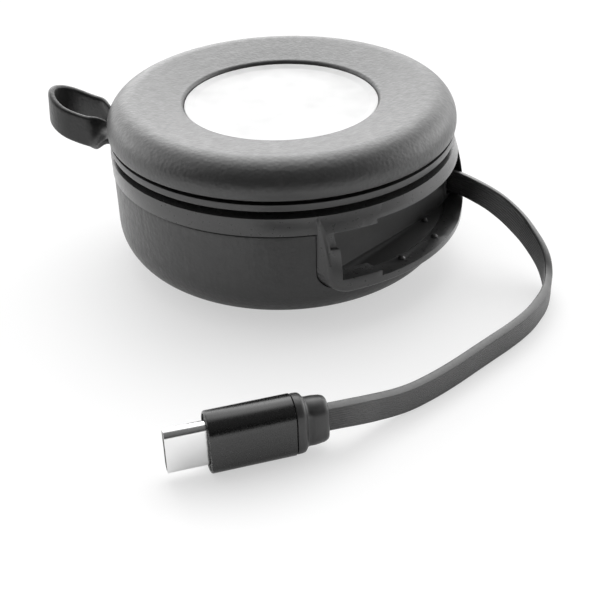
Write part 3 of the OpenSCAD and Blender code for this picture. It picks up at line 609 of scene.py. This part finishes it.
def rim_line():
    """Points along the frame's outline, close together and out on the ball that its face lies on."""
    corners = frame_outline(0.0)
    outline = []
    for (y0, z0), (y1, z1) in zip(corners, corners[1:]):
        steps = max(1, round(math.hypot(y1 - y0, z1 - z0) / RIM_STEP))
        outline += [(y0 + (y1 - y0) * i / steps, z0 + (z1 - z0) * i / steps) for i in range(steps)]
    reach = [math.sqrt(FRAME_R ** 2 - y ** 2 - (z - FRAME_DOME_Z) ** 2) for y, z in outline]
    return [Vector((x, y, z)) for x, (y, z) in zip(reach, outline)]


def rim_cutter():
    """Takes the edge off the frame's outline: a bar swept round it, quarter-round on its inner side."""
    turn = Matrix.Rotation(FRAME_AZIMUTH, 4, "Z")
    middle = Vector((0, 0, FRAME_DOME_Z))
    line = rim_line()
    points = []
    for i, here in enumerate(line):
        along = heading(line, i).normalized()
        normal = (here - middle).normalized()
        inward = normal.cross(along).normalized()
        back = Vector((-1, 0, 0))
        back = (back - along * back.dot(along)).normalized()
        proud = here.x - math.sqrt(SKIRT_R ** 2 - here.y ** 2)
        set_back = min(RIM_ROUND, 0.7 * proud)
        half = inward.angle(back) / 2
        radius = set_back * math.tan(half)
        centre = here + (inward + back).normalized() * (set_back / math.cos(half))
        start = (here + inward * set_back - centre).normalized()
        finish = (here + back * set_back - centre).normalized()
        ring = [centre + start.slerp(finish, k / RIM_STEPS) * radius for k in range(RIM_STEPS + 1)]
        outward = inward * -1
        ring += [ring[-1] + outward * RIM_REACH, here + (outward + normal) * RIM_REACH,
                 ring[0] + normal * RIM_REACH]
        points += [turn @ p for p in ring]
    faces = ring_faces(len(line), RIM_STEPS + 4)
    return face_outward(new_mesh("rim_cutter", points, faces, BAND_PLASTIC))


def make_skirt():
    """Leather round the side, rounded under at the floor and folded over at its top."""
    centre = (SKIRT_R - SKIRT_ROUND, SKIRT_FLOOR + SKIRT_ROUND)
    fold, clear = SKIRT_FOLD, 0.03
    outer = [(SKIRT_FOOT_R, SKIRT_FLOOR)] + arc(centre, SKIRT_ROUND, -90, 0, 32)
    outer += [(SKIRT_R, z) for z in (12.5, 14.0, 15.5, 17.0, 18.3, 19.1)]
    outer += arc((SKIRT_R - fold, SKIRT_TOP - fold), fold, 15, 90, 6)
    inside = SKIRT_R - SKIRT_THICK + clear
    inner = [(inside, SKIRT_TOP - 0.05), (inside, 15.0), (inside, centre[1])]
    inner += arc(centre, SKIRT_ROUND - SKIRT_THICK + clear, -12, -88, 20) + [(SKIRT_FOOT_R, 1.55)]
    skirt = revolve("side_leather_skirt", outer + inner, BODY_LEATHER, 384, 50)
    cut(skirt, bay_prism("cutter", frame_outline(SKIRT_GAP), 10, 60))
    dress(skirt, BODY_LEATHER, 50)
    stands_for(skirt, "housing", "leather", "side_leather")


# Strap loop, swept along the same line as the solid model's
def strap_line(steps):
    """Points of the strap's middle line in its own frame, which points along +X."""
    def rise(x):
        way = STRAP_END + STRAP_BEND - STRAP_TURN_FROM
        return STRAP_RISE * (max(x - STRAP_TURN_FROM, 0) / way) ** 2

    leg = [STRAP_ROOT + (STRAP_END - STRAP_ROOT) * i / steps for i in range(steps)]
    turn = [math.pi * (i / steps - 0.5) for i in range(steps + 1)]
    line = [(x, -STRAP_BEND) for x in leg]
    line += [(STRAP_END + STRAP_BEND * math.cos(a), STRAP_BEND * math.sin(a)) for a in turn]
    line += [(x, STRAP_BEND) for x in reversed(leg)]
    return [Vector((x, y, STRAP_Z + rise(x))) for x, y in line]


def strap_section():
    """Outline of the strap: x across its width, y through its thickness, with soft edges."""
    soft, flat_steps = STRAP_SOFT, 12
    points = []
    for quarter, (sx, sy) in enumerate(((1, 1), (-1, 1), (-1, -1), (1, -1))):
        centre = (sx * (STRAP_WIDTH / 2 - soft), sy * (STRAP_THICK / 2 - soft))
        points += arc(centre, soft, quarter * 90, quarter * 90 + 90, 5)
        if quarter in (0, 2):
            side = STRAP_WIDTH / 2 - soft
            points += [(sx * side * (1 - 2 * i / flat_steps), sy * STRAP_THICK / 2)
                       for i in range(1, flat_steps)]
    return points


def make_strap():
    """The strap, flat where it comes out of the band and on edge further out."""
    line = strap_line(24)
    section = strap_section()
    turn = Matrix.Rotation(STRAP_AZIMUTH, 4, "Z")
    points = []
    for i, here in enumerate(line):
        along = heading(line, i)
        along.z = 0
        out = along.normalized().cross(UP)
        part = min(max((here.x - STRAP_TURN_FROM) / (STRAP_TURN_TO - STRAP_TURN_FROM), 0), 1)
        bank = STRAP_BANK * part * part * (3 - 2 * part)
        across = UP * math.sin(bank) - out * math.cos(bank)
        face = out * math.sin(bank) + UP * math.cos(bank)
        points += [turn @ (here + across * x + face * y) for x, y in section]
    strap = new_mesh("strap_loop_soft", points, ring_faces(len(line), len(section)), STRAP_LEATHER, 60)
    stands_for(strap, "housing", "leather", "strap_loop")


make_pad()
make_disc()
make_strap()
make_skirt()
band = softened("bezel_band", "bezel_band_soft", BAND_PLASTIC, 0.3, "band_plastic")
dress(cut(band, rim_cutter()), BAND_PLASTIC)
softened("bay_liner", "bay_liner_soft", BAY_PLASTIC, 0.08, "band_plastic")
softened("top_carrier", "top_carrier_soft", STRIP_PLASTIC, 0.12, "housing_plastic")
softened("foot_pad", "foot_pad_soft", FOOT_RUBBER, 0.1, "foot_rubber")
softened("cable_guide", "cable_guide_soft", BAY_PLASTIC, 0.08, "dark_plastic")

# CAD pieces that stay, each with its material
KEPT = {
    "base_cup": INNER_PLASTIC, "mid_plate": INNER_PLASTIC, "mid_screws": SCREW_STEEL,
    "carrier_screws": SCREW_STEEL, "charging_coil": COPPER, "ferrite_plate": FERRITE,
    "circuit_board": BOARD_GREEN, "board_parts": CHIP_BLACK, "board_screws": SCREW_STEEL,
    "centre_post": SCREW_STEEL, "reel": REEL_PLASTIC, "reel_cap": REEL_PLASTIC,
    "wound_cable": CABLE_DARK, "power_spring": SPRING_STEEL, "spring_cover": REEL_PLASTIC,
    "contact_rings": BRASS, "contact_fingers": BRASS, "pawl": REEL_PLASTIC, "pawl_pin": SCREW_STEEL,
    "pawl_spring": SPRING_STEEL, "strap_pins": SCREW_STEEL,
    "plug_contacts": BRASS, "plug_core": MOULD_DARK,
}
for node, material in KEPT.items():
    NODES[node].data.materials.clear()
    NODES[node].data.materials.append(material)


# Floor: half its side in metres, how far it lies under the object in millimetres, the light that it
# gives back, and the shine that it adds in reflections. The camera sees a floor that is partly
# bright by itself, so shadows on it stay pale.
FLOOR_HALF, FLOOR_DROP = 4.0, 0.05
FLOOR_ALBEDO, FLOOR_IN_MIRRORS = 0.82, 0.27
FLOOR_SEEN_ALBEDO, FLOOR_SEEN_SHINE = 0.38, 0.54


def make_floor():
    """The pale table top: one look for the camera and another for the light that it throws back."""
    half = FLOOR_HALF
    mesh = bpy.data.meshes.new("floor")
    corners = [(-half, -half, 0), (half, -half, 0), (half, half, 0), (-half, half, 0)]
    mesh.from_pydata(corners, [], [(0, 1, 2, 3)])
    floor = link(bpy.data.objects.new("floor", mesh))
    floor.location.z = -FLOOR_DROP * MM
    material = bpy.data.materials.new("floor")
    material.use_nodes = True
    tree = material.node_tree
    tree.nodes.clear()
    seen = tree.nodes.new("ShaderNodeLightPath")
    mirrored = tree.nodes.new("ShaderNodeMath")
    level = tree.nodes.new("ShaderNodeMath")
    level.operation = "MULTIPLY"
    level.inputs[1].default_value = FLOOR_IN_MIRRORS
    tree.links.new(seen.outputs["Is Glossy Ray"], mirrored.inputs[0])
    tree.links.new(seen.outputs["Is Transmission Ray"], mirrored.inputs[1])
    tree.links.new(mirrored.outputs[0], level.inputs[0])
    mix = tree.nodes.new("ShaderNodeMixShader")
    tree.links.new(seen.outputs["Is Camera Ray"], mix.inputs["Fac"])
    glows = []
    for socket, albedo in ((1, FLOOR_ALBEDO), (2, FLOOR_SEEN_ALBEDO)):
        diffuse = tree.nodes.new("ShaderNodeBsdfDiffuse")
        diffuse.inputs["Color"].default_value = (*grey(albedo), 1)
        glow = tree.nodes.new("ShaderNodeEmission")
        glows.append(glow)
        both = tree.nodes.new("ShaderNodeAddShader")
        tree.links.new(diffuse.outputs[0], both.inputs[0])
        tree.links.new(glow.outputs[0], both.inputs[1])
        tree.links.new(both.outputs[0], mix.inputs[socket])
    tree.links.new(level.outputs[0], glows[0].inputs["Strength"])
    glows[1].inputs["Strength"].default_value = FLOOR_SEEN_SHINE
    out = tree.nodes.new("ShaderNodeOutputMaterial")
    tree.links.new(mix.outputs[0], out.inputs["Surface"])
    mesh.materials.append(material)


# Soft glows round the room: azimuth clockwise from behind the object, elevation, both in degrees,
# cosine at the glow's edge, and strength
GLOWS = [
    (4, 26, 0.76, 4.6), (4, 64, 0.8, 3.4), (-33, 10, 0.8, 2.4), (-65, 8, 0.8, 2.1), (-75, 35, 0.75, 1.5),
    (65, 8, 0.75, 4.4), (75, 35, 0.75, 0.7), (110, 12, 0.75, 0.4), (180, 65, 0.6, 0.2),
]
ROOM_LIGHT = 0.075


def make_world():
    """Soft glows round a dim room; plain pale grey where the camera looks past the floor."""
    world = bpy.data.worlds.new("world")
    bpy.context.scene.world = world
    world.use_nodes = True
    tree = world.node_tree
    tree.nodes.clear()
    place = tree.nodes.new("ShaderNodeTexCoord")
    room = tree.nodes.new("ShaderNodeValue")
    room.outputs[0].default_value = ROOM_LIGHT
    total = room.outputs[0]
    for azimuth, elevation, edge, strength in GLOWS:
        a, e = math.radians(azimuth), math.radians(elevation)
        middle = (math.sin(a) * math.cos(e), math.cos(a) * math.cos(e), math.sin(e))
        toward = tree.nodes.new("ShaderNodeVectorMath")
        toward.operation = "DOT_PRODUCT"
        toward.inputs[1].default_value = middle
        tree.links.new(place.outputs["Generated"], toward.inputs[0])
        fall = tree.nodes.new("ShaderNodeMapRange")
        fall.interpolation_type = "SMOOTHSTEP"
        set_range(fall, edge, 1.0, 0.0, strength)
        tree.links.new(toward.outputs["Value"], fall.inputs["Value"])
        both = tree.nodes.new("ShaderNodeMath")
        tree.links.new(total, both.inputs[0])
        tree.links.new(fall.outputs["Result"], both.inputs[1])
        total = both.outputs[0]
    light = tree.nodes.new("ShaderNodeBackground")
    beyond = tree.nodes.new("ShaderNodeBackground")
    seen = tree.nodes.new("ShaderNodeLightPath")
    mix = tree.nodes.new("ShaderNodeMixShader")
    out = tree.nodes.new("ShaderNodeOutputWorld")
    tree.links.new(total, light.inputs["Strength"])
    tree.links.new(seen.outputs["Is Camera Ray"], mix.inputs["Fac"])
    tree.links.new(light.outputs[0], mix.inputs[1])
    tree.links.new(beyond.outputs[0], mix.inputs[2])
    tree.links.new(mix.outputs[0], out.inputs["Surface"])


make_floor()
make_world()

bpy.context.scene.view_settings.view_transform = "Standard"
